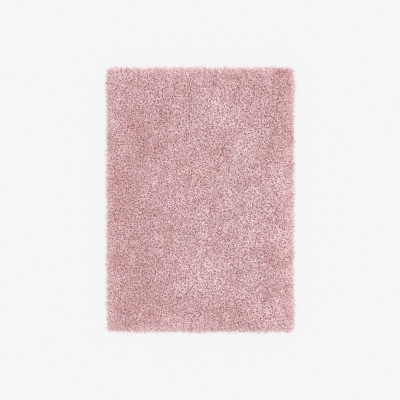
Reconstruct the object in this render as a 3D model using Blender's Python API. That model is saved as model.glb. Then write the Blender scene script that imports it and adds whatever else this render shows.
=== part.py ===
"""Long-pile shag rug lying flat: one solid that reaches as far as the pile does."""

import math
from collections import namedtuple

import bmesh
import bpy

# Driving dimensions, in metres
WIDTH = 1.450  # over the drooping edge tufts, along X
LENGTH = 2.050  # over the drooping edge tufts, along Y
PILE_TOP = 0.042  # highest tips above the floor
CORNER_RADIUS = 0.030  # of the outline seen from above
FOOT_INSET = 0.006  # the underside ends this far inside the widest line
FIELD_STEP = 0.100  # spacing of the mesh lines away from the edge
WANDER_DEPTH = 0.250  # how far in the unevenness of an edge is felt
PILE_SWELL = 0.0015  # how much the top rises and falls over broad patches

PILE_PINK = (0.615, 0.380, 0.395, 1.0)  # linear
PILE_ROUGHNESS = 0.95

# The rounded shoulder of the pile, from its widest line inwards
EdgeStep = namedtuple("EdgeStep", "inset height")
EDGE_STEPS = (
    EdgeStep(inset=0.000, height=0.0120),
    EdgeStep(inset=0.008, height=0.0270),
    EdgeStep(inset=0.017, height=0.0340),
    EdgeStep(inset=0.030, height=0.0380),
    EdgeStep(inset=0.060, height=0.0405),
)

# Gentle waves of the four edges: swing in metres, waves along the edge, start in turns
EdgeWave = namedtuple("EdgeWave", "side swing waves start")
EDGE_WAVES = (
    EdgeWave(side="left", swing=0.0022, waves=2.3, start=0.10),
    EdgeWave(side="left", swing=0.0012, waves=6.1, start=0.55),
    EdgeWave(side="right", swing=0.0024, waves=1.8, start=0.40),
    EdgeWave(side="right", swing=0.0013, waves=5.4, start=0.05),
    EdgeWave(side="bottom", swing=0.0020, waves=1.6, start=0.70),
    EdgeWave(side="bottom", swing=0.0011, waves=4.2, start=0.20),
    EdgeWave(side="top", swing=0.0022, waves=1.4, start=0.25),
    EdgeWave(side="top", swing=0.0012, waves=4.7, start=0.80),
)

# Broad swells of the pile's top: waves across the rug, waves along it, start in turns
Swell = namedtuple("Swell", "across along start")
SWELLS = (
    Swell(across=1.3, along=0.9, start=0.15),
    Swell(across=-0.8, along=2.1, start=0.60),
    Swell(across=2.2, along=1.4, start=0.35),
)


def clear_scene():
    for thing in list(bpy.data.objects):
        bpy.data.objects.remove(thing, do_unlink=True)


def stations(span):
    """Places of the mesh lines from -span/2 to span/2: close at both edges, even between."""
    shoulder = [span / 2 - step.inset for step in EDGE_STEPS]
    gaps = round(2 * shoulder[-1] / FIELD_STEP)
    field = [shoulder[-1] * (2 * i / gaps - 1) for i in range(1, gaps)]
    return [-place for place in shoulder] + field + shoulder[::-1]


def rounded(x, y):
    """Bends the square corners of the outline into arcs and keeps the rest in place."""
    centre_x, centre_y = WIDTH / 2 - CORNER_RADIUS, LENGTH / 2 - CORNER_RADIUS
    reach_x, reach_y = abs(x) - centre_x, abs(y) - centre_y
    if reach_x <= 0 or reach_y <= 0:
        return x, y
    pull = max(reach_x, reach_y) / math.hypot(reach_x, reach_y)
    return math.copysign(centre_x + reach_x * pull, x), math.copysign(centre_y + reach_y * pull, y)


def swing(side, along):
    """How far an edge lies outwards of its mean at a place from 0 to 1 along it."""
    waves = [wave for wave in EDGE_WAVES if wave.side == side]
    return sum(w.swing * math.sin(2 * math.pi * (w.waves * along + w.start)) for w in waves)


def wandered(x, y):
    """Moves a place with the uneven edges next to it, less and less further in."""
    felt_x = max(0.0, 1 - (WIDTH / 2 - abs(x)) / WANDER_DEPTH)
    felt_y = max(0.0, 1 - (LENGTH / 2 - abs(y)) / WANDER_DEPTH)
    out_x = felt_x * swing("right" if x > 0 else "left", y / LENGTH + 0.5)
    out_y = felt_y * swing("top" if y > 0 else "bottom", x / WIDTH + 0.5)
    return x + math.copysign(1, x) * out_x, y + math.copysign(1, y) * out_y


def foot_place(place, span):
    """Draws a place near the edge in, so that the underside ends at the foot's inset."""
    depth = EDGE_STEPS[-1].inset
    inset = span / 2 - abs(place)
    if inset < depth:
        inset = FOOT_INSET + inset * (1 - FOOT_INSET / depth)
    return math.copysign(span / 2 - inset, place)


def top_height(x, y):
    """Height of the pile's surface: the shoulder near an edge, and broad swells inside it."""
    inset = min(WIDTH / 2 - abs(x), LENGTH / 2 - abs(y))
    turns = [s.across * x / WIDTH + s.along * y / LENGTH + s.start for s in SWELLS]
    rise = sum(math.sin(2 * math.pi * turn) for turn in turns) / len(turns)
    for outer, inner in zip(EDGE_STEPS, EDGE_STEPS[1:]):
        if inset < inner.inset:
            share = (inset - outer.inset) / (inner.inset - outer.inset)
            return outer.height + (inner.height - outer.height) * share
    return EDGE_STEPS[-1].height + PILE_SWELL * rise * min(1.0, inset / WANDER_DEPTH)


def fit_to_size(verts):
    """Stretches the shape by a hair, so that it measures exactly what the top names say."""
    for axis, low, high in ((0, -WIDTH / 2, WIDTH / 2), (1, -LENGTH / 2, LENGTH / 2), (2, 0, PILE_TOP)):
        places = [vert.co[axis] for vert in verts]
        first, last = min(places), max(places)
        for vert in verts:
            vert.co[axis] = low + (high - low) * (vert.co[axis] - first) / (last - first)


def lay_out_grid(bm):
    """A flat sheet of quads whose lines lie at the stations."""
    columns, rows = stations(WIDTH), stations(LENGTH)
    bmesh.ops.create_grid(bm, x_segments=len(columns) - 1, y_segments=len(rows) - 1, size=0.5)
    for vert in bm.verts:
        column = round((vert.co.x + 0.5) * (len(columns) - 1))
        row = round((vert.co.y + 0.5) * (len(rows) - 1))
        vert.co = (columns[column], rows[row], 0.0)


def make_rug():
    """The flat underside, the shoulder round the edge and the softly uneven top."""
    bm = bmesh.new()
    lay_out_grid(bm)
    grown = bmesh.ops.extrude_face_region(bm, geom=bm.faces[:], use_keep_orig=True)
    top = {item for item in grown["geom"] if isinstance(item, bmesh.types.BMVert)}
    for vert in bm.verts:
        x, y = vert.co.x, vert.co.y
        if vert in top:
            height = top_height(x, y)
        else:
            x, y, height = foot_place(x, WIDTH), foot_place(y, LENGTH), 0.0
        vert.co = (*wandered(*rounded(x, y)), height)
    fit_to_size(bm.verts)
    bmesh.ops.recalc_face_normals(bm, faces=bm.faces)
    mesh = bpy.data.meshes.new("rug")
    bm.to_mesh(mesh)
    bm.free()
    mesh.shade_smooth()
    mesh.set_sharp_from_angle(angle=math.radians(50))
    return bpy.data.objects.new("rug", mesh)


def pile_material():
    material = bpy.data.materials.new("pile_yarn")
    material.use_nodes = True
    shader = material.node_tree.nodes["Principled BSDF"]
    shader.inputs["Base Color"].default_value = PILE_PINK
    shader.inputs["Roughness"].default_value = PILE_ROUGHNESS
    shader.inputs["Metallic"].default_value = 0.0
    return material


def main():
    clear_scene()
    collection = bpy.data.collections.new("shag_rug")
    bpy.context.scene.collection.children.link(collection)
    rug = make_rug()
    rug.data.materials.append(pile_material())
    collection.objects.link(rug)


main()
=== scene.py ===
import math

import bpy
import numpy as np
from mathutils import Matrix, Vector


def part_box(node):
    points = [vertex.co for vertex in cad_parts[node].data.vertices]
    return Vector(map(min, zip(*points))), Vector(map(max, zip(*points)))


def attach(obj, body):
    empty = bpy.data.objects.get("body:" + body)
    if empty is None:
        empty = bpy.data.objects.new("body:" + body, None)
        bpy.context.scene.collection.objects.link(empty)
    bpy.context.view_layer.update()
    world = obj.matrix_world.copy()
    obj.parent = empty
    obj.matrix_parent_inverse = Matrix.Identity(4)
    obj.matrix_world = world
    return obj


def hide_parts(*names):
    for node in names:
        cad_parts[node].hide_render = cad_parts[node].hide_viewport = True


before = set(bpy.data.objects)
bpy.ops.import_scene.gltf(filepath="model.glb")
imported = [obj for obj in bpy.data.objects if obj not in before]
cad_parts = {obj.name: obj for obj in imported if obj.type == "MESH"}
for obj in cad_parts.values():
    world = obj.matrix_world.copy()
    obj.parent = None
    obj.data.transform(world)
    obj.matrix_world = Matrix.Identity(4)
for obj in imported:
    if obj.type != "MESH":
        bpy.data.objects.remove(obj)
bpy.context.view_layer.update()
rugLow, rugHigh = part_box("rug")
rugWidth = rugHigh[0] - rugLow[0]
rugLength = rugHigh[1] - rugLow[1]
clothReach = 0.025  # edge tufts droop this far past the cloth
clothWidth = rugWidth - 2 * clothReach
clothLength = rugLength - 2 * clothReach
bpy.ops.object.select_all(action="DESELECT")


class Signal:  # a node's output, so that shader maths reads as plain sums
    def __init__(self, desk, socket):
        self.desk = desk
        self.socket = socket

    def maths(self, operation, first, second=0.0):
        return self.desk.add("ShaderNodeMath", {"operation": operation}, {0: first, 1: second})

    def __add__(self, other):
        return self.maths("ADD", self, other)

    def __radd__(self, other):
        return self.maths("ADD", other, self)

    def __sub__(self, other):
        return self.maths("SUBTRACT", self, other)

    def __rsub__(self, other):
        return self.maths("SUBTRACT", other, self)

    def __mul__(self, other):
        return self.maths("MULTIPLY", self, other)

    def __rmul__(self, other):
        return self.maths("MULTIPLY", other, self)

    def __pow__(self, other):
        return self.maths("POWER", self, other)

    def sine(self):
        return self.maths("SINE", self)


class Desk:  # one material's nodes
    def __init__(self, name):
        self.material = bpy.data.materials.new(name)
        self.material.use_nodes = True
        self.tree = self.material.node_tree
        self.tree.nodes.clear()

    def add(self, kind, settings=None, sockets=None, output=0):
        node = self.tree.nodes.new(kind)
        for name, value in (settings or {}).items():
            setattr(node, name, value)
        for name, value in (sockets or {}).items():
            socket = self.find(node.inputs, name)
            if isinstance(value, Signal):
                self.tree.links.new(value.socket, socket)
            else:
                socket.default_value = value
        return Signal(self, self.find(node.outputs, output))

    def find(self, sockets, name):
        if isinstance(name, int):
            return sockets[name]
        return next(s for s in sockets if name in (s.identifier, s.name))

    def mix(self, share, first, second, way="MIX"):
        settings = {"data_type": "RGBA", "blend_type": way}
        sockets = {"Factor_Float": share, "A_Color": first, "B_Color": second}
        return self.add("ShaderNodeMix", settings, sockets, "Result_Color")

    def clamp(self, value):
        return self.add("ShaderNodeClamp", {}, {"Value": value}, "Result")

    def bump(self, height, strength, depth):
        sockets = {"Height": height, "Strength": strength, "Distance": depth}
        return self.add("ShaderNodeBump", {}, sockets, "Normal")

    def attribute(self, name):
        return self.add("ShaderNodeAttribute", {"attribute_name": name}, {}, "Fac")

    def finish(self, surface):
        ending = self.tree.nodes.new("ShaderNodeOutputMaterial")
        self.tree.links.new(surface.socket, ending.inputs["Surface"])
        return self.material


def colour(red, green, blue):  # screen numbers, 0 to 255, as Blender's linear ones
    def linear(value):
        share = value / 255
        return share / 12.92 if share <= 0.04045 else ((share + 0.055) / 1.055) ** 2.4
    return (linear(red), linear(green), linear(blue), 1.0)


# The camera straight above the middle, far off with a long lens, as in the photo

print("camera and light")
camera = {
    "lens": 150,  # mm
    "sensor": 36,  # mm
    "frame": 3.1123,  # metres of floor across the picture
    "farthest": 100,  # metres it sees
}


def addCamera():
    data = bpy.data.cameras.new("aboveCamera")
    data.lens = camera["lens"]
    data.sensor_width = camera["sensor"]
    data.clip_end = camera["farthest"]
    height = camera["frame"] * camera["lens"] / camera["sensor"]
    eye = bpy.data.objects.new("aboveCamera", data)
    eye.location = (0, 0, height)
    bpy.context.scene.collection.objects.link(eye)
    bpy.context.scene.camera = eye


studio = {
    "ground": colour(246, 246, 246),
    "floorGlow": 0.85,  # how much of the floor's brightness shows no shadow
    "floorSize": 60,
    "floorGap": 0.0003,  # between it and the cloth's underside
    "dome": 1.345,  # brightness of the light from all round
    "keyPower": 1.43,
    "keyPlace": (3.0, 2.4, 5.5),  # where the light comes from
    "fillPower": 0.34,
    "fillPlace": (-4.0, -3.0, 4.5),
    "softness": 50,  # degrees across, seen from the rug
}


def floorLight():  # how bright a white floor would be under the dome and both lamps
    light = studio["dome"]
    for lamp in ("key", "fill"):
        x, y, z = studio[lamp + "Place"]
        light += studio[lamp + "Power"] * z / math.sqrt(x * x + y * y + z * z) / math.pi
    return light


def addFloor():
    bpy.ops.mesh.primitive_plane_add(size=studio["floorSize"], location=(0, 0, -studio["floorGap"]))
    floor = bpy.context.object
    floor.name = "studioFloor"
    desk = Desk("studioFloor")
    ground, light = studio["ground"], floorLight()
    paint = (ground[0] / light, ground[1] / light, ground[2] / light, 1.0)
    plain = desk.add("ShaderNodeBsdfDiffuse", {}, {"Color": paint}, "BSDF")
    glow = desk.add("ShaderNodeEmission", {}, {"Color": ground}, "Emission")
    blend = {"Fac": studio["floorGlow"], 1: plain, 2: glow}
    floor.data.materials.append(desk.finish(desk.add("ShaderNodeMixShader", {}, blend)))
    floor.select_set(False)


def addWorld():
    world = bpy.data.worlds.new("paleStudio")
    world.use_nodes = True
    nodes, links = world.node_tree.nodes, world.node_tree.links
    nodes.clear()
    seen = nodes.new("ShaderNodeBackground")
    seen.inputs["Color"].default_value = studio["ground"]
    lit = nodes.new("ShaderNodeBackground")
    lit.inputs["Color"].default_value = (1, 1, 1, 1)
    lit.inputs["Strength"].default_value = studio["dome"]
    path = nodes.new("ShaderNodeLightPath")
    choice = nodes.new("ShaderNodeMixShader")
    links.new(path.outputs["Is Camera Ray"], choice.inputs["Fac"])
    links.new(lit.outputs["Background"], choice.inputs[1])
    links.new(seen.outputs["Background"], choice.inputs[2])
    out = nodes.new("ShaderNodeOutputWorld")
    links.new(choice.outputs["Shader"], out.inputs["Surface"])
    bpy.context.scene.world = world


def addLamp(name, place, power):
    data = bpy.data.lights.new(name, "SUN")
    data.energy = power
    data.angle = math.radians(studio["softness"])
    lamp = bpy.data.objects.new(name, data)
    lamp.location = place
    lamp.rotation_euler = (-lamp.location).to_track_quat("-Z", "Y").to_euler()
    bpy.context.scene.collection.objects.link(lamp)


addCamera()
addWorld()
addFloor()
addLamp("keyLamp", studio["keyPlace"], studio["keyPower"])
addLamp("fillLamp", studio["fillPlace"], studio["fillPower"])
scene = bpy.context.scene
scene.view_settings.view_transform = "Standard"
scene.cycles.use_denoising = False  # the grain of the pile stays crisp
scene.cycles.filter_width = 1.3  # pixels


# Where the pile is lighter or darker, and its pink paler or fuller, warmer or cooler: short
# lists of broad patches

# painted shade and painted light: where these patches lie, the yarns' colour is made darker for
# pile lying away from the light, lighter for pile lying towards it
layShadingPatches = [  # across and along from the middle, reach, all in metres; tone about -1 to 1
    {"across": -0.60, "along": 0.14, "reach": 0.15, "tone": -0.85},
    {"across": -0.50, "along": 0.58, "reach": 0.12, "tone": -0.8},
    {"across": -0.30, "along": 0.67, "reach": 0.08, "tone": -0.8},
    {"across": -0.34, "along": 0.45, "reach": 0.08, "tone": -0.7},
    {"across": -0.43, "along": 0.34, "reach": 0.10, "tone": -0.6},
    {"across": -0.60, "along": -0.88, "reach": 0.12, "tone": -0.9},
    {"across": -0.38, "along": -0.92, "reach": 0.07, "tone": -1.0},
    {"across": -0.60, "along": -0.10, "reach": 0.10, "tone": -0.6},
    {"across": -0.36, "along": -0.10, "reach": 0.06, "tone": -0.7},
    {"across": -0.46, "along": -0.30, "reach": 0.13, "tone": -0.5},
    {"across": -0.62, "along": -0.47, "reach": 0.08, "tone": -0.6},
    {"across": -0.44, "along": -0.56, "reach": 0.14, "tone": -0.5},
    {"across": -0.25, "along": -0.24, "reach": 0.05, "tone": -0.6},
    {"across": -0.23, "along": -0.37, "reach": 0.05, "tone": -0.6},
    {"across": -0.34, "along": -0.74, "reach": 0.12, "tone": -0.6},
    {"across": 0.62, "along": 0.88, "reach": 0.08, "tone": -0.7},
    {"across": 0.42, "along": 0.93, "reach": 0.10, "tone": -0.6},
    {"across": -0.16, "along": 0.88, "reach": 0.14, "tone": -0.4},
    {"across": 0.58, "along": 0.60, "reach": 0.09, "tone": -0.9},
    {"across": 0.57, "along": 0.42, "reach": 0.07, "tone": -0.8},
    {"across": 0.18, "along": 0.36, "reach": 0.06, "tone": -0.6},
    {"across": 0.54, "along": -0.45, "reach": 0.06, "tone": -1.1},
    {"across": 0.30, "along": -0.57, "reach": 0.06, "tone": -0.6},
    {"across": 0.52, "along": -0.72, "reach": 0.09, "tone": -0.6},
    {"across": 0.28, "along": -0.92, "reach": 0.12, "tone": -0.7},
    {"across": 0.04, "along": -0.89, "reach": 0.10, "tone": -0.5},
    {"across": 0.44, "along": 0.13, "reach": 0.06, "tone": -0.6},
    {"across": 0.60, "along": -0.15, "reach": 0.05, "tone": -0.5},
    {"across": 0.10, "along": 0.74, "reach": 0.10, "tone": 0.9},
    {"across": 0.22, "along": 0.62, "reach": 0.10, "tone": 0.6},
    {"across": 0.34, "along": 0.39, "reach": 0.08, "tone": 0.8},
    {"across": 0.42, "along": 0.52, "reach": 0.07, "tone": 0.2},
    {"across": 0.67, "along": 0.14, "reach": 0.13, "tone": 1.1},
    {"across": 0.66, "along": -0.28, "reach": 0.10, "tone": 1.1},
    {"across": 0.04, "along": -0.58, "reach": 0.13, "tone": 1.0},
    {"across": -0.14, "along": -0.69, "reach": 0.06, "tone": 0.7},
    {"across": -0.38, "along": 0.21, "reach": 0.07, "tone": 0.7},
    {"across": 0.40, "along": -0.20, "reach": 0.09, "tone": 0.6},
    {"across": 0.00, "along": -0.22, "reach": 0.08, "tone": 0.4},
    {"across": 0.24, "along": 0.04, "reach": 0.08, "tone": 0.5},
    {"across": 0.42, "along": 0.04, "reach": 0.06, "tone": 0.5},
    {"across": -0.24, "along": -0.04, "reach": 0.08, "tone": 0.4},
    {"across": 0.58, "along": -0.86, "reach": 0.13, "tone": 0.6},
    {"across": 0.40, "along": -0.64, "reach": 0.10, "tone": 0.3},
    {"across": -0.42, "along": 0.76, "reach": 0.08, "tone": 0.4},
    {"across": -0.12, "along": -0.40, "reach": 0.10, "tone": 0.3},
]
# painted shade and painted light of the pile's lie, which each yarn carries into its colour
lay = {
    "patches": 0.92,  # how strongly the list above counts
    "slope": 0.25,  # painted light, lighter to the right, for each metre
    "drifts": [  # finer mottling by chance, as wavelength, strength, seed and number of waves
        (0.28, 0.18, 164, 24),
        (0.15, 0.25, 150, 8),
        (0.11, 0.22, 42, 24),
    ],
    "limit": 1.2,
    "outside": 0.02,  # it fades in from this far outside the cloth's edge
    "fadeDepth": 0.06,  # over this depth
    "least": 0.3,  # and is never below this share
}
edgeLight = {  # painted light: pile that leans over an edge is made lighter in colour, as if it caught more light
    "depth": 0.14,  # how far in from the edge
    "fade": 1.5,  # above 1, so it gathers close to the edge
    "tone": 0.82,
    "left": 0.38,  # more on the left than on the right
    "front": 0.1,
    "ends": 0.3,  # more at the two short ends than at the long sides
    "drift": (0.24, 0.9, 2531, 24),  # and not the same all along
}


blush = {
    "middle": -0.3,  # paler in the middle, more blush near the edges
    "border": 1.2,
    "depth": 0.22,
    "paleTips": 0.8,  # and paler again at the very edge
    "tipDepth": 0.02,
    "drift": (0.11, 0.2, 31, 8),
    "limit": 1.5,
}
blushPatches = [  # above 0 fuller pink, below 0 paler
    {"across": 0.30, "along": 0.30, "reach": 0.11, "tone": -0.8},
    {"across": 0.42, "along": 0.46, "reach": 0.08, "tone": -0.6},
    {"across": -0.12, "along": 0.67, "reach": 0.10, "tone": -0.8},
    {"across": 0.45, "along": 0.07, "reach": 0.10, "tone": -0.9},
    {"across": 0.26, "along": -0.12, "reach": 0.13, "tone": -0.8},
    {"across": 0.12, "along": 0.13, "reach": 0.08, "tone": -0.4},
    {"across": -0.26, "along": -0.28, "reach": 0.10, "tone": -0.8},
    {"across": 0.31, "along": -0.42, "reach": 0.08, "tone": -0.6},
    {"across": 0.42, "along": -0.64, "reach": 0.11, "tone": -0.4},
    {"across": -0.45, "along": 0.31, "reach": 0.06, "tone": -0.6},
    {"across": -0.55, "along": 0.52, "reach": 0.07, "tone": 0.6},
    {"across": -0.58, "along": -0.66, "reach": 0.08, "tone": 0.7},
]
mauve = {"drift": (0.13, 0.25, 32, 8), "limit": 1.5}
mauvePatches = [  # above 0 cooler, below 0 warmer
    {"across": 0.12, "along": 0.62, "reach": 0.16, "tone": 0.9},
    {"across": -0.17, "along": -0.02, "reach": 0.09, "tone": 1.1},
    {"across": 0.55, "along": 0.17, "reach": 0.10, "tone": 1.0},
    {"across": 0.15, "along": -0.40, "reach": 0.16, "tone": 0.9},
    {"across": -0.32, "along": 0.97, "reach": 0.09, "tone": 1.0},
    {"across": -0.16, "along": -0.70, "reach": 0.07, "tone": 0.7},
    {"across": 0.02, "along": 0.24, "reach": 0.22, "tone": -0.6},
    {"across": 0.27, "along": 0.31, "reach": 0.08, "tone": -0.7},
    {"across": -0.24, "along": -0.27, "reach": 0.11, "tone": -0.9},
    {"across": -0.07, "along": -0.50, "reach": 0.07, "tone": -1.1},
    {"across": 0.18, "along": -0.67, "reach": 0.08, "tone": -0.9},
    {"across": 0.56, "along": 0.37, "reach": 0.08, "tone": -0.8},
    {"across": 0.68, "along": -0.42, "reach": 0.09, "tone": -1.1},
    {"across": 0.34, "along": 0.96, "reach": 0.10, "tone": -0.8},
]


def patchTone(patches, x, y):
    tone = np.zeros_like(x)
    for patch in patches:
        away = np.hypot(x - patch["across"], y - patch["along"]) / patch["reach"]
        tone += patch["tone"] * np.exp(-away ** 2)
    return tone


# painted shade and painted light of the pile's lie, with the painted edge light added
def layShadingTone(x, y):
    tone = lay["slope"] * x + lay["patches"] * patchTone(layShadingPatches, x, y)
    for settings in lay["drifts"]:
        tone = tone + drift(x, y, *settings)
    share = np.clip((edgeInset(x, y) + lay["outside"]) / lay["fadeDepth"], lay["least"], 1)
    return np.clip(tone, -lay["limit"], lay["limit"]) * share + edgeShine(x, y)


def blushTone(x, y):
    inset = edgeInset(x, y)
    tone = blush["middle"] + blush["border"] * np.clip(1 - inset / blush["depth"], 0, 1)
    tone -= blush["paleTips"] * np.clip(1 - inset / blush["tipDepth"], 0, 1)
    tone += drift(x, y, *blush["drift"])
    return np.clip(tone + patchTone(blushPatches, x, y), -blush["limit"], blush["limit"])


def mauveTone(x, y):
    tone = patchTone(mauvePatches, x, y) + drift(x, y, *mauve["drift"])
    return np.clip(tone, -mauve["limit"], mauve["limit"])


pitchRange = (0.7, 1.4)  # a drift's shortest and longest waves, against its wavelength
usualPeak = 1.6  # of waves that add up by chance, against their spread


# Smooth noise, up to about the strength each way
def drift(x, y, wavelength, strength, seed, waves):
    rng = np.random.default_rng(seed)
    total = np.zeros_like(x)
    for _ in range(waves):
        heading, start = rng.uniform(0, 2 * math.pi, 2)
        pitch = wavelength * rng.uniform(*pitchRange)
        ahead = x * math.cos(heading) + y * math.sin(heading)
        total += np.cos(2 * math.pi * ahead / pitch + start)
    return total * strength * math.sqrt(2 / waves) / usualPeak


# painted light near the cloth's edges, added into the pile's painted lay shading
def edgeShine(x, y):
    outX, outY, near = outward(x, y, edgeLight["depth"])
    tone = edgeLight["tone"] - edgeLight["left"] * outX - edgeLight["front"] * outY
    tone += edgeLight["ends"] * np.abs(outY) + drift(x, y, *edgeLight["drift"])
    return near ** edgeLight["fade"] * tone


def edgeInset(x, y):  # how far in from the cloth's edge
    return np.minimum(clothWidth / 2 - np.abs(x), clothLength / 2 - np.abs(y))


def outward(x, y, depth):  # how strongly a yarn at a place is drawn over the edge
    nearX = np.clip(1 - (clothWidth / 2 - np.abs(x)) / depth, 0, 1)
    nearY = np.clip(1 - (clothLength / 2 - np.abs(y)) / depth, 0, 1)
    return nearX * np.sign(x), nearY * np.sign(y), np.maximum(nearX, nearY)


# The ground cloth

print("ground cloth")
cloth = {
    "thickness": 0.0025,
    "cornerRadius": 0.012,
    "cornerSteps": 5,
    "softEdge": 0.3,  # bevel along its edges, as a share of the thickness
    "undyed": colour(230, 214, 202),
    "undyedDark": colour(196, 176, 162),
    "threadGap": 0.0030,
    "weftShare": 0.5,
    "fuzzShare": 0.6,
    "fuzzScale": 900.0,
    "contrast": 0.7,
    "darkest": 0.2,
    "roughness": 0.95,
    "bump": 0.6,
    "bumpDepth": 0.0008,
}


def clothMaterial():
    desk = Desk("wovenGround")
    place = desk.add("ShaderNodeTexCoord", {}, {}, "Object")
    split = desk.add("ShaderNodeSeparateXYZ", {}, {"Vector": place}, "X")
    across = Signal(desk, split.socket)
    along = Signal(desk, split.socket.node.outputs["Y"])
    turns = 2 * math.pi / cloth["threadGap"]
    weft = (along * turns).sine() * (across * (turns / 2)).sine()
    grain = {"Vector": place, "Scale": cloth["fuzzScale"], "Detail": 2.0}
    fuzz = desk.add("ShaderNodeTexNoise", {}, grain, "Fac")
    height = weft * cloth["weftShare"] + fuzz * cloth["fuzzShare"]
    share = desk.clamp(height * cloth["contrast"] + cloth["darkest"])
    weave = desk.mix(share, cloth["undyedDark"], cloth["undyed"])
    bump = desk.bump(height, cloth["bump"], cloth["bumpDepth"])
    skin = {"Base Color": weave, "Roughness": cloth["roughness"], "Normal": bump}
    return desk.finish(desk.add("ShaderNodeBsdfPrincipled", {}, skin, "BSDF"))


def addGroundCloth():
    bpy.ops.mesh.primitive_plane_add(size=1)
    piece = bpy.context.object
    piece.name = "groundCloth"
    piece.data.name = "groundCloth"
    piece.scale = (clothWidth, clothLength, 1)
    bpy.ops.object.transform_apply(scale=True)
    bpy.ops.object.mode_set(mode="EDIT")
    bpy.ops.mesh.select_all(action="SELECT")
    bpy.ops.mesh.bevel(affect="VERTICES", offset=cloth["cornerRadius"],
                       segments=cloth["cornerSteps"])
    bpy.ops.mesh.extrude_region_move(TRANSFORM_OT_translate={"value": (0, 0, cloth["thickness"])})
    bpy.ops.mesh.select_all(action="SELECT")
    bpy.ops.mesh.normals_make_consistent(inside=False)
    bpy.ops.object.mode_set(mode="OBJECT")
    bevel = piece.modifiers.new("softEdge", "BEVEL")
    bevel.width = cloth["thickness"] * cloth["softEdge"]
    bevel.segments = 2
    bpy.ops.object.modifier_apply(modifier="softEdge")
    piece.data.materials.append(clothMaterial())
    piece.select_set(False)
    return piece


groundCloth = addGroundCloth()


# The dense foot of the pile, where its yarns stand too close to tell apart

print("pile foot")
foot = {
    "step": 0.016,
    "height": 0.0245,
    "lift": 0.0003,  # between it and the cloth
    "lumps": 0.0035,  # how uneven its top is, either way
    "shoulder": 0.028,  # how far in from the cloth's edge the yarns' roots reach the full height
    "lines": (0, 1, 2, 3, 4, 10, 80),  # mesh lines, counted in from the edge
    "insets": (0.004, -0.002, 0.004, 0.018, 0.0383, 0.160, 1.280),  # where they lie
    "heights": (0.0, 0.009, 0.018, 0.0235, 0.0245, 0.0245, 0.0245),
    "jitterLines": (0, 1, 3, 5),
    "jitter": (0.0, 0.0015, 0.0015, 0.0048),  # at those lines, how uneven they run
    "strandGap": 0.0055,  # between the strands drawn on it
    "stripeGap": 0.314,  # between a wave texture's stripes at scale 1
    "strandBend": 7.0,
    "strandShare": 0.75,
    "clumpShare": 0.5,
    "clumpScale": 90.0,
    # painted shade in the gaps between the painted strands
    "gapShade": colour(184, 126, 132),
    "litLowGap": colour(236, 196, 200),  # painted light: the gaps' painted shade made lighter low down on the sides, where less light comes
    "yarnColour": colour(238, 194, 199),
    "roughness": 0.95,
    "bump": 1.0,
    "bumpDepth": 0.0045,
    "seed": 5,
}


def stray(rng, count, spread=1.0):  # chance, alike either way
    return spread * rng.uniform(-1, 1, count)


def footHeight(inset):  # over the cloth, where yarns start at a distance in from its edge
    rise = 1 - np.clip(inset / foot["shoulder"], 0, 1)
    return foot["height"] * np.sqrt(1 - rise ** 2)


def footMaterial():  # strands that lie this way and that, with painted shade in the gaps between them
    desk = Desk("pileFoot")
    place = desk.add("ShaderNodeTexCoord", {}, {}, "Object")
    stripes = {"Vector": place, "Scale": foot["stripeGap"] / foot["strandGap"],
               "Distortion": foot["strandBend"], "Detail": 1.0, "Detail Scale": 1.6}
    bands = {"wave_type": "BANDS", "bands_direction": "DIAGONAL", "wave_profile": "SIN"}
    strand = desk.add("ShaderNodeTexWave", bands, stripes, "Fac")
    lumps = {"Vector": place, "Scale": foot["clumpScale"], "Detail": 1.0}
    clump = desk.add("ShaderNodeTexNoise", {}, lumps, "Fac")
    rise = desk.clamp(strand * foot["strandShare"] + clump * foot["clumpShare"])
    height = desk.add("ShaderNodeSeparateXYZ", {}, {"Vector": place}, "Z")
    low = desk.clamp((foot["height"] - height) * (1 / foot["height"]))
    # painted shade in the gaps, lightened low down on the sides by painted light
    gap = desk.mix(low, foot["gapShade"], foot["litLowGap"])
    base = desk.mix(rise, gap, foot["yarnColour"])
    bump = desk.bump(rise, foot["bump"], foot["bumpDepth"])
    skin = {"Base Color": base, "Roughness": foot["roughness"], "Normal": bump}
    return desk.finish(desk.add("ShaderNodeBsdfPrincipled", {}, skin, "BSDF"))


def shapeFoot(mesh, columns, rows):  # moves a square metre's grid to the foot's lines and heights
    places = np.empty(len(mesh.vertices) * 3, np.float32)
    mesh.vertices.foreach_get("co", places)
    places = places.reshape(-1, 3).astype(float)
    lines = (0.5 - np.abs(places[:, :2])) * (columns, rows)
    insets = np.interp(lines, foot["lines"], foot["insets"])
    half = np.array([clothWidth, clothLength]) / 2 - insets
    onMiddle = lines > (columns / 2 - 0.25, rows / 2 - 0.25)  # within a quarter of a line of it
    places[:, :2] = np.where(onMiddle, 0, np.sign(places[:, :2]) * half)
    nearest = lines.min(1)
    rng = np.random.default_rng(foot["seed"])
    lumps = 1 + foot["lumps"] / foot["height"] * stray(rng, len(places))
    height = np.interp(nearest, foot["lines"], foot["heights"]) * lumps
    places[:, 2] = cloth["thickness"] + foot["lift"] + height
    jitter = np.interp(nearest, foot["jitterLines"], foot["jitter"])
    places[:, 0] += jitter * stray(rng, len(places))
    places[:, 1] += jitter * stray(rng, len(places))
    mesh.vertices.foreach_set("co", places.astype(np.float32).ravel())


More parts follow.
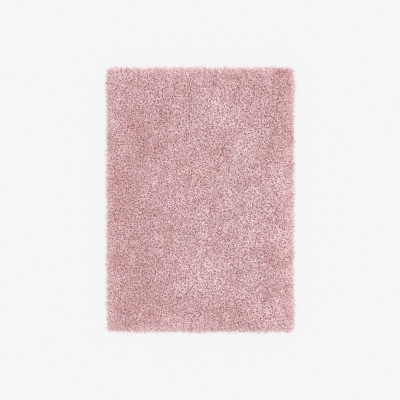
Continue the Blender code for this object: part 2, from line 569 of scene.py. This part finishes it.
def addPileFoot():
    columns, rows = round(clothWidth / foot["step"]), round(clothLength / foot["step"])
    bpy.ops.mesh.primitive_grid_add(x_subdivisions=columns, y_subdivisions=rows, size=1)
    piece = bpy.context.object
    piece.name = "pileFoot"
    piece.data.name = "pileFoot"
    mesh = piece.data
    shapeFoot(mesh, columns, rows)
    bpy.ops.object.mode_set(mode="EDIT")
    bpy.ops.mesh.select_all(action="DESELECT")
    bpy.ops.mesh.select_mode(type="EDGE")
    bpy.ops.mesh.select_non_manifold(extend=False, use_wire=False, use_boundary=True,
                                     use_multi_face=False, use_non_contiguous=False,
                                     use_verts=False)
    bpy.ops.mesh.edge_face_add()
    bpy.ops.mesh.select_all(action="SELECT")
    bpy.ops.mesh.normals_make_consistent(inside=False)
    bpy.ops.object.mode_set(mode="OBJECT")
    if mesh.polygons[columns * rows // 2].normal.z < 0:  # its bulging sides mislead the step above
        mesh.flip_normals()
    mesh.shade_smooth()
    mesh.materials.append(footMaterial())
    piece.select_set(False)
    return piece


pileFoot = addPileFoot()


# The yarns of the pile, as joined meshes worked out with arrays

print("pile")
pile = {
    "yarnGap": 0.0076,  # between neighbouring yarns
    "stagger": 0.25,  # rows move sideways by this share of it, in turn to the right and left
    "jitter": 0.0010,
    "margin": 0.003,  # no yarn starts nearer to the cloth's edge
    "sunk": 0.004,  # a yarn starts this far below the foot's surface
    "lowest": 0.0004,  # but at least this far above the cloth
    "yarnLength": 0.034,
    "lengthSpread": 0.16,
    "yarnRadius": 0.0024,
    "radiusSpread": 0.2,
    "stations": (0.0, 0.34, 0.68, 1.0),  # root, rings and cut end, as shares of a yarn's length
    "fullness": (0.0, 1.0, 1.0, 0.68),  # radius at each of them
    "firstLean": 5,  # degrees from upright at the root
    "firstSpread": 8,
    "lastLean": 90,  # degrees from upright at the tip
    "leanSpread": 26,
    "frontPull": 0.2,  # how strongly all of it leans to the front, against the chance headings' 1
    "curl": 90,  # degrees a yarn turns sideways, either way
    "bands": 5,  # pieces the field is made in
    "edgeDepth": 0.070,  # how far in the yarns start to lean outwards
    "outPull": 2.4,  # how strongly, against the chance headings' 1
    "droop": 5,  # degrees more lean at the very edge, at the tip
    "rootDroop": 10,  # and at the root
    "edgeShorter": 0.2,
    "edgeStraighter": 0.6,
    "clumpsAcross": (0.08, 0.6, 3, 8),  # neighbours lean alike: wavelength, strength, seed, waves
    "clumpsAlong": (0.08, 0.6, 4, 8),
    "swells": (0.045, 0.05, 6, 8),  # and are alike in length
    "level": 0.038,  # what stands taller is pressed down
    "pressed": 0.65,  # by this share
    "nap": (0.0026, 0.0014),  # how far the tips are stroked across and along
    "lyingGap": 0.0002,  # under a yarn that lies on the floor
    "floorGap": 0.0003,  # no corner of one is nearer to the floor
    "seed": 11,
}
edgeTufts = {
    "count": 12300,
    "zone": 0.095,  # they start up to this far up the foot's round shoulder and over its top
    "zonePower": 1.4,  # closer together low down
    "zoneSpread": 0.06,  # how unevenly, as a share of it
    "sunk": 0.003,
    "lowest": 0.0004,
    "yarnLength": 0.0376,
    "lengthSpread": 0.36,
    "topShorter": 0.25,  # at the top of the zone
    "swells": (0.2, 0.11, 1116, 24),  # the edge isn't quite straight
    "yarnRadius": 0.0018,
    "radiusSpread": 0.15,
    "stations": (0.0, 0.34, 0.68, 1.0),
    "fullness": (0.0, 1.0, 0.95, 0.65),
    "cornerDepth": 0.1,  # they fan out round a corner from this far away
    "fan": 0.45,  # how far their headings stray low down
    "topFan": 0.6,  # and how much more at the top
    "startSpread": 14,  # degrees
    "fall": 64,  # degrees that a yarn bends down from where it starts
    "fallSpread": 24,
    "lastLimit": 140,  # degrees from upright at the tip
    "curl": 60,
    "seed": 23,
}
pinks = {
    # darker, fuller pink at the root: partly the yarn's own colour, partly painted shade of the
    # deep pile
    "root": colour(211, 151, 156),
    "tip": colour(219, 188, 190),
    "darkYarn": (0.96, 0.95, 0.95, 1.0),  # the darkest and lightest yarns, as shares of the colour
    "lightYarn": (1.03, 1.04, 1.04, 1.0),
    "shadedLay": (0.882, 0.792, 0.792, 1.0),  # painted shade and painted light: pile lying away from the light, and towards it
    "litLay": (1.105, 1.205, 1.205, 1.0),
    "pale": (0.990, 1.030, 1.030, 1.0),
    "blush": (1.010, 0.970, 0.970, 1.0),
    "olive": (1.002, 1.003, 0.978, 1.0),
    "mauve": (0.998, 0.997, 1.022, 1.0),
    "tipPower": 0.8,  # how the colour goes over from root to tip
    "plies": 2,
    "plyTurns": 9,  # their twists over a yarn's length
    "roughness": 0.9,
    "specular": 0.25,
    "bump": 0.35,
    "bumpDepth": 0.0008,
}


shifts = {  # what each yarn carries, from -1 to 1, and the shares of its colour at the two ends
    "tone": ("darkYarn", "lightYarn"),
    # painted shade and painted light of the pile's lie
    "lay": ("shadedLay", "litLay"),
    "blush": ("pale", "blush"),
    "mauve": ("olive", "mauve"),
}


def yarnMaterial():
    desk = Desk("pileYarn")
    place = desk.add("ShaderNodeUVMap", {"uv_map": "yarnMap"}, {}, "UV")
    around = desk.add("ShaderNodeSeparateXYZ", {}, {"Vector": place}, "X")
    along = Signal(desk, around.socket.node.outputs["Y"])
    # root to tip: the yarn's own lighter tips, and painted shade at the root
    base = desk.mix(along ** pinks["tipPower"], pinks["root"], pinks["tip"])
    for name, (low, high) in shifts.items():
        share = 0.5 + desk.attribute(name) * 0.5
        base = desk.mix(1.0, base, desk.mix(share, pinks[low], pinks[high]), "MULTIPLY")
    turn = 2 * math.pi
    ply = (along * (turn * pinks["plyTurns"]) + around * (turn * pinks["plies"])).sine()
    bump = desk.bump(ply, pinks["bump"], pinks["bumpDepth"])
    skin = {"Base Color": base, "Roughness": pinks["roughness"],
            "Specular IOR Level": pinks["specular"], "Normal": bump}
    return desk.finish(desk.add("ShaderNodeBsdfPrincipled", {}, skin, "BSDF"))


def fieldRoots(rng):
    gap = pile["yarnGap"]
    columns, rows = int(clothWidth / gap) - 1, int(clothLength / gap) - 1
    column, row = np.meshgrid(np.arange(columns + 1), np.arange(rows + 1))
    x = (column - columns / 2 + pile["stagger"] * np.where(row % 2, 1, -1)) * gap
    y = (row - rows / 2) * gap
    x = x + rng.normal(0, pile["jitter"], x.shape)
    y = y + rng.normal(0, pile["jitter"], y.shape)
    limitX, limitY = clothWidth / 2 - pile["margin"], clothLength / 2 - pile["margin"]
    return np.clip(x, -limitX, limitX).ravel(), np.clip(y, -limitY, limitY).ravel()


def rootHeight(x, y, make):
    above = footHeight(edgeInset(x, y)) - make["sunk"]
    return cloth["thickness"] + np.maximum(above, make["lowest"])


def fieldYarns():
    rng = np.random.default_rng(pile["seed"])
    x, y = fieldRoots(rng)
    count = len(x)
    heading = rng.uniform(0, 2 * math.pi, count)
    outX, outY, near = outward(x, y, pile["edgeDepth"])
    leanX = np.cos(heading) + drift(x, y, *pile["clumpsAcross"]) + pile["outPull"] * outX
    leanY = np.sin(heading) + drift(x, y, *pile["clumpsAlong"]) + pile["outPull"] * outY
    lift = 1 + stray(rng, count, pile["lengthSpread"]) + drift(x, y, *pile["swells"])
    first = pile["firstLean"] + stray(rng, count, pile["firstSpread"]) + pile["rootDroop"] * near
    last = pile["lastLean"] + stray(rng, count, pile["leanSpread"]) + pile["droop"] * near
    curl = np.radians(stray(rng, count, pile["curl"]))
    return {
        "x": x,
        "y": y,
        "z": rootHeight(x, y, pile),
        "heading": np.arctan2(leanY - pile["frontPull"], leanX),
        "first": np.radians(first),
        "last": np.radians(last),
        "length": pile["yarnLength"] * lift * (1 - pile["edgeShorter"] * near),
        "curl": curl * (1 - pile["edgeStraighter"] * near),
        "tone": stray(rng, count),
        "roll": stray(rng, count, math.pi),
        "thick": pile["yarnRadius"] * (1 + stray(rng, count, pile["radiusSpread"])),
    }


def edgeYarns():  # they start all over the foot's round shoulder, at right angles to it
    rng = np.random.default_rng(edgeTufts["seed"])
    count = edgeTufts["count"]
    order = np.arange(count)
    golden = (math.sqrt(5) - 1) / 2  # spreads the yarns evenly over the zone
    share = (order * golden + stray(rng, count, edgeTufts["zoneSpread"])) % 1
    climbed = edgeTufts["zone"] * share ** edgeTufts["zonePower"]
    quarter = math.pi / 2 * (foot["shoulder"] + foot["height"]) / 2  # the shoulder's round
    climb = np.minimum(climbed / quarter, 1) * math.pi / 2
    inset = foot["shoulder"] * (1 - np.cos(climb)) + np.maximum(climbed - quarter, 0)
    run = 2 * (clothWidth + clothLength) * (order + rng.uniform(0, 1, count)) / count
    onEnds = run < 2 * clothWidth
    sign = np.where(np.where(onEnds, run < clothWidth, run < 2 * clothWidth + clothLength), 1, -1)
    alongEnd = run % clothWidth - clothWidth / 2
    alongSide = (run - 2 * clothWidth) % clothLength - clothLength / 2
    x = np.where(onEnds, alongEnd, sign * (clothWidth / 2 - inset))
    y = np.where(onEnds, sign * (clothLength / 2 - inset), alongSide)
    outX, outY, _ = outward(x, y, edgeTufts["cornerDepth"])
    start = math.pi / 2 - climb + np.radians(stray(rng, count, edgeTufts["startSpread"]))
    lift = 1 + stray(rng, count, edgeTufts["lengthSpread"])
    lift = lift * (1 + drift(x, y, *edgeTufts["swells"]))
    shorter = 1 - edgeTufts["topShorter"] * inset / edgeTufts["zone"]
    fall = np.radians(edgeTufts["fall"] + stray(rng, count, edgeTufts["fallSpread"]))
    fan = edgeTufts["fan"] + edgeTufts["topFan"] * inset / edgeTufts["zone"]
    return {
        "x": x,
        "y": y,
        "z": rootHeight(x, y, edgeTufts),
        "heading": np.arctan2(outY, outX) + rng.normal(0, 1, count) * fan,
        "first": start,
        "last": np.minimum(start + fall, math.radians(edgeTufts["lastLimit"])),
        "length": edgeTufts["yarnLength"] * lift * shorter,
        "curl": np.radians(stray(rng, count, edgeTufts["curl"])),
        "tone": stray(rng, count),
        "roll": stray(rng, count, math.pi),
        "thick": edgeTufts["yarnRadius"] * (1 + stray(rng, count, edgeTufts["radiusSpread"])),
    }


def yarnSpines(yarns, stations):  # each yarn's middle line, bending over from its root to its tip
    stations = np.array(stations)
    middles, steps = (stations[1:] + stations[:-1]) / 2, np.diff(stations)
    lean = yarns["first"][:, None] + (yarns["last"] - yarns["first"])[:, None] * middles
    turn = yarns["heading"][:, None] + yarns["curl"][:, None] * middles
    move = np.stack([np.sin(lean) * np.cos(turn), np.sin(lean) * np.sin(turn), np.cos(lean)], -1)
    move *= (yarns["length"][:, None] * steps)[..., None]
    root = np.stack([yarns["x"], yarns["y"], yarns["z"]], -1)[:, None]
    points = np.concatenate([root, root + np.cumsum(move, 1)], 1)
    points[..., :2] += np.outer(stations ** 2, pile["nap"])
    points[..., 2] -= pile["pressed"] * np.maximum(points[..., 2] - pile["level"], 0)
    lowest = yarns["thick"][:, None] + pile["lyingGap"]
    points[..., 2] = np.maximum(points[..., 2], lowest)
    return points


def yarnPoints(yarns, make):  # a point at the root, then three corners round each ring
    spine = yarnSpines(yarns, make["stations"])
    run = np.empty_like(spine)
    run[:, 1:-1] = spine[:, 2:] - spine[:, :-2]
    run[:, 0] = spine[:, 1] - spine[:, 0]
    run[:, -1] = spine[:, -1] - spine[:, -2]
    run /= np.maximum(np.linalg.norm(run, axis=2, keepdims=True), 1e-6)
    side = np.stack([-run[..., 1], run[..., 0], np.zeros(run.shape[:2])], -1)
    side /= np.maximum(np.linalg.norm(side, axis=2, keepdims=True), 1e-6)
    over = np.cross(run, side)
    reach = (yarns["thick"][:, None] * np.array(make["fullness"]))[..., None]
    corners = []
    for corner in range(3):
        angle = (yarns["roll"] + corner * 2 * math.pi / 3)[:, None, None]
        corners.append(spine + reach * (np.cos(angle) * side + np.sin(angle) * over))
    rings = np.stack(corners, 2)[:, 1:].reshape(len(spine), -1, 3)
    points = np.concatenate([spine[:, :1], rings], 1)
    points[..., 2] = np.maximum(points[..., 2], pile["floorGap"])
    return points


mapMargin = 0.04  # left free at either end of a yarn's own map
bakeMargin = 0.06  # and all round its square of the bake's map


def yarnFaces(stations):  # one yarn's sides and its cut end, as points and as places on its map
    height = [mapMargin + (1 - 2 * mapMargin) * station for station in stations]
    quads, triangles = [], []
    for corner in range(3):
        left, right = corner / 3, (corner + 1) / 3
        ahead = (corner + 1) % 3
        tip = (0, (left + right) / 2, 0.0)
        triangles.append([tip, (1 + ahead, right, height[1]), (1 + corner, left, height[1])])
        for ring in range(1, len(stations) - 1):
            low, lowNext = 3 * ring - 2 + corner, 3 * ring - 2 + ahead
            under, above = height[ring], height[ring + 1]
            quads.append([(low, left, under), (lowNext, right, under),
                          (lowNext + 3, right, above), (low + 3, left, above)])
    last = 3 * len(stations) - 5
    triangles.append([(last, 0.1, height[-1]), (last + 1, 0.9, height[-1]), (last + 2, 0.5, 1.0)])
    return np.array(quads), np.array(triangles)


def bakeCells(count):  # a square of the bake's map for each yarn
    across = math.ceil(math.sqrt(count))
    order = np.arange(count)
    return np.stack([order % across, order // across], -1)[:, None, None] / across, 1 / across


def yarnPiece(name, yarns, make, material):
    points = yarnPoints(yarns, make)
    count, perYarn = points.shape[:2]
    first = (np.arange(count) * perYarn)[:, None, None]
    cells, cellSize = bakeCells(count)
    indices, places, bakePlaces, sizes = [], [], [], []
    for faces in yarnFaces(make["stations"]):
        indices.append((first + faces[None, ..., 0]).ravel())
        places.append(np.tile(faces[None, ..., 1:], (count, 1, 1, 1)).reshape(-1, 2))
        inCell = bakeMargin + (1 - 2 * bakeMargin) * faces[None, ..., 1:]
        bakePlaces.append((cells + inCell * cellSize).reshape(-1, 2))
        sizes.append(np.full(count * faces.shape[0], faces.shape[1]))
    sizes = np.concatenate(sizes)
    mesh = bpy.data.meshes.new(name)
    mesh.vertices.add(count * perYarn)
    mesh.vertices.foreach_set("co", points.astype(np.float32).ravel())
    mesh.loops.add(int(sizes.sum()))
    mesh.loops.foreach_set("vertex_index", np.concatenate(indices).astype(np.int32))
    mesh.polygons.add(len(sizes))
    mesh.polygons.foreach_set("loop_start", (np.cumsum(sizes) - sizes).astype(np.int32))
    mesh.update(calc_edges=True)
    mesh.validate()
    mesh.shade_smooth()
    for key, values in (("yarnMap", places), ("OFBake", bakePlaces)):
        layer = mesh.uv_layers.new(name=key)
        layer.uv.foreach_set("vector", np.concatenate(values).astype(np.float32).ravel())
    x, y = yarns["x"], yarns["y"]
    carried = {
        "tone": yarns["tone"],
        # painted shade and painted light, one value for each yarn
        "lay": layShadingTone(x, y),
        "blush": blushTone(x, y),
        "mauve": mauveTone(x, y),
    }
    for key, values in carried.items():
        spread = np.repeat(values, perYarn).astype(np.float32)
        mesh.attributes.new(key, "FLOAT", "POINT").data.foreach_set("value", spread)
    mesh.materials.append(material)
    piece = bpy.data.objects.new(name, mesh)
    bpy.context.scene.collection.objects.link(piece)
    print(name, count, "yarns,", int((sizes - 2).sum()), "triangles")
    return piece


def addPile():
    material = yarnMaterial()
    yarns = fieldYarns()
    limits = np.quantile(yarns["x"], np.linspace(0, 1, pile["bands"] + 1)[1:-1])
    band = np.searchsorted(limits, yarns["x"])
    pieces = [yarnPiece("edgeTufts", edgeYarns(), edgeTufts, material)]
    for index in range(pile["bands"]):
        chosen = {key: values[band == index] for key, values in yarns.items()}
        pieces.append(yarnPiece(f"pileBand{index + 1}", chosen, pile, material))
    return pieces


pileBands = addPile()


# What each piece rides on, with the imported rug hidden

print("declaring pieces")
for piece in [groundCloth, pileFoot, *pileBands]:
    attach(piece, "root")
    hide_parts("rug")
